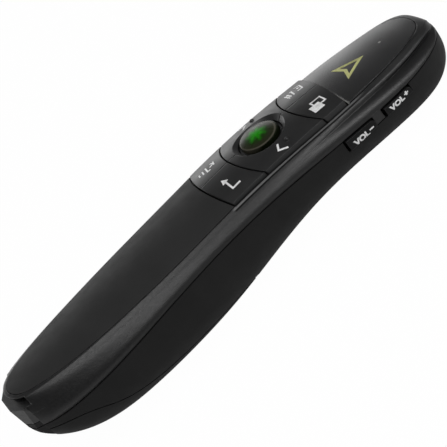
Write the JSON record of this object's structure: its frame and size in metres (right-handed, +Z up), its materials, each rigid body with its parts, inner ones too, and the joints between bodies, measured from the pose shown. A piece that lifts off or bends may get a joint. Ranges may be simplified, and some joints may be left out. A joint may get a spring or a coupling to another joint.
{
  "type": "wireless presentation clicker",
  "caption": "Hand-held wireless presentation clicker with a crowned keypad, domed laser button, side volume keys, nose window and sliding battery door.",
  "frame": {"origin": "on the table under the middle of the overall box", "axes": "+X towards the nose (laser end), +Y towards the left side, +Z up"},
  "size_m": [0.1393, 0.0328, 0.026],
  "materials": {
    "shell": "matte",
    "frame": "satin",
    "cover": "matte",
    "keys": "satin",
    "side_keys": "satin",
    "window": "gloss",
    "clear": "gloss",
    "green": "gloss",
    "collar": "gloss",
    "board": "satin",
    "chip": "matte",
    "contact": "satin",
    "brass": "satin",
    "lamp": "gloss",
    "cell": "satin",
    "screw": "satin",
    "white": "satin",
    "lens": "gloss"
  },
  "bodies": {
    "housing": {"lower_shell": "shell", "upper_frame": "frame", "palm_cover": "cover", "nose_window": "window", "button_collar": "collar", "circuit_board": "board", "controller_chip": "chip", "key_switches": "chip", "side_board": "board", "side_switches": "chip", "power_switch_body": "contact", "laser_module": "brass", "laser_lens": "lens", "laser_bezel": "side_keys", "indicator_board": "board", "indicator_led": "lamp", "battery_left": "cell", "battery_right": "cell", "battery_spring_left": "contact", "battery_spring_right": "contact", "tail_contacts": "contact", "front_contacts": "contact", "case_screws": "screw", "receiver_case": "chip", "receiver_plug": "contact"},
    "tab_key": {"tab_key": "keys", "tab_plunger": "white"},
    "enter_key": {"enter_key": "keys", "enter_plunger": "white"},
    "next_key": {"next_key": "keys", "next_plunger": "white"},
    "previous_key": {"previous_key": "keys", "previous_plunger": "white"},
    "blank_screen_key": {"blank_screen_key": "keys", "blank_screen_plunger": "white"},
    "window_switch_key": {"window_switch_key": "keys", "window_switch_plunger": "white"},
    "volume_down_key": {"volume_down_key": "side_keys", "volume_down_plunger": "white"},
    "volume_up_key": {"volume_up_key": "side_keys", "volume_up_plunger": "white"},
    "laser_button": {"laser_button": "clear", "button_light_guide": "green", "laser_plunger": "white"},
    "power_slider": {"power_slider": "side_keys"},
    "battery_door": {"battery_door": "shell"}
  },
  "joints": [
    {"name": "tab_press", "type": "slide", "parent": "housing", "child": "tab_key", "axis": [-0.0976, 0, -0.9952], "range_m": [0, 0.0005], "stiffness_N_per_m": 800, "springref_m": -0.0003},
    {"name": "enter_press", "type": "slide", "parent": "housing", "child": "enter_key", "axis": [-0.0976, 0, -0.9952], "range_m": [0, 0.0005], "stiffness_N_per_m": 800, "springref_m": -0.0003},
    {"name": "next_press", "type": "slide", "parent": "housing", "child": "next_key", "axis": [-0.0976, 0, -0.9952], "range_m": [0, 0.0005], "stiffness_N_per_m": 800, "springref_m": -0.0003},
    {"name": "previous_press", "type": "slide", "parent": "housing", "child": "previous_key", "axis": [-0.0976, 0, -0.9952], "range_m": [0, 0.0005], "stiffness_N_per_m": 800, "springref_m": -0.0003},
    {"name": "blank_screen_press", "type": "slide", "parent": "housing", "child": "blank_screen_key", "axis": [-0.0976, 0, -0.9952], "range_m": [0, 0.0005], "stiffness_N_per_m": 800, "springref_m": -0.0003},
    {"name": "window_switch_press", "type": "slide", "parent": "housing", "child": "window_switch_key", "axis": [-0.0976, 0, -0.9952], "range_m": [0, 0.0005], "stiffness_N_per_m": 800, "springref_m": -0.0003},
    {"name": "laser_press", "type": "slide", "parent": "housing", "child": "laser_button", "axis": [-0.0976, 0, -0.9952], "range_m": [0, 0.0007], "stiffness_N_per_m": 700, "springref_m": -0.00042},
    {"name": "volume_down_press", "type": "slide", "parent": "housing", "child": "volume_down_key", "axis": [0, 1, 0], "range_m": [0, 0.00035], "stiffness_N_per_m": 900, "springref_m": -0.00021},
    {"name": "volume_up_press", "type": "slide", "parent": "housing", "child": "volume_up_key", "axis": [0, 1, 0], "range_m": [0, 0.00035], "stiffness_N_per_m": 900, "springref_m": -0.00021},
    {"name": "power_slide", "type": "slide", "parent": "housing", "child": "power_slider", "axis": [1, 0, 0], "range_m": [0, 0.003]},
    {"name": "door_slide", "type": "slide", "parent": "housing", "child": "battery_door", "axis": [-1, 0, 0], "range_m": [0, 0.064]}
  ]
}
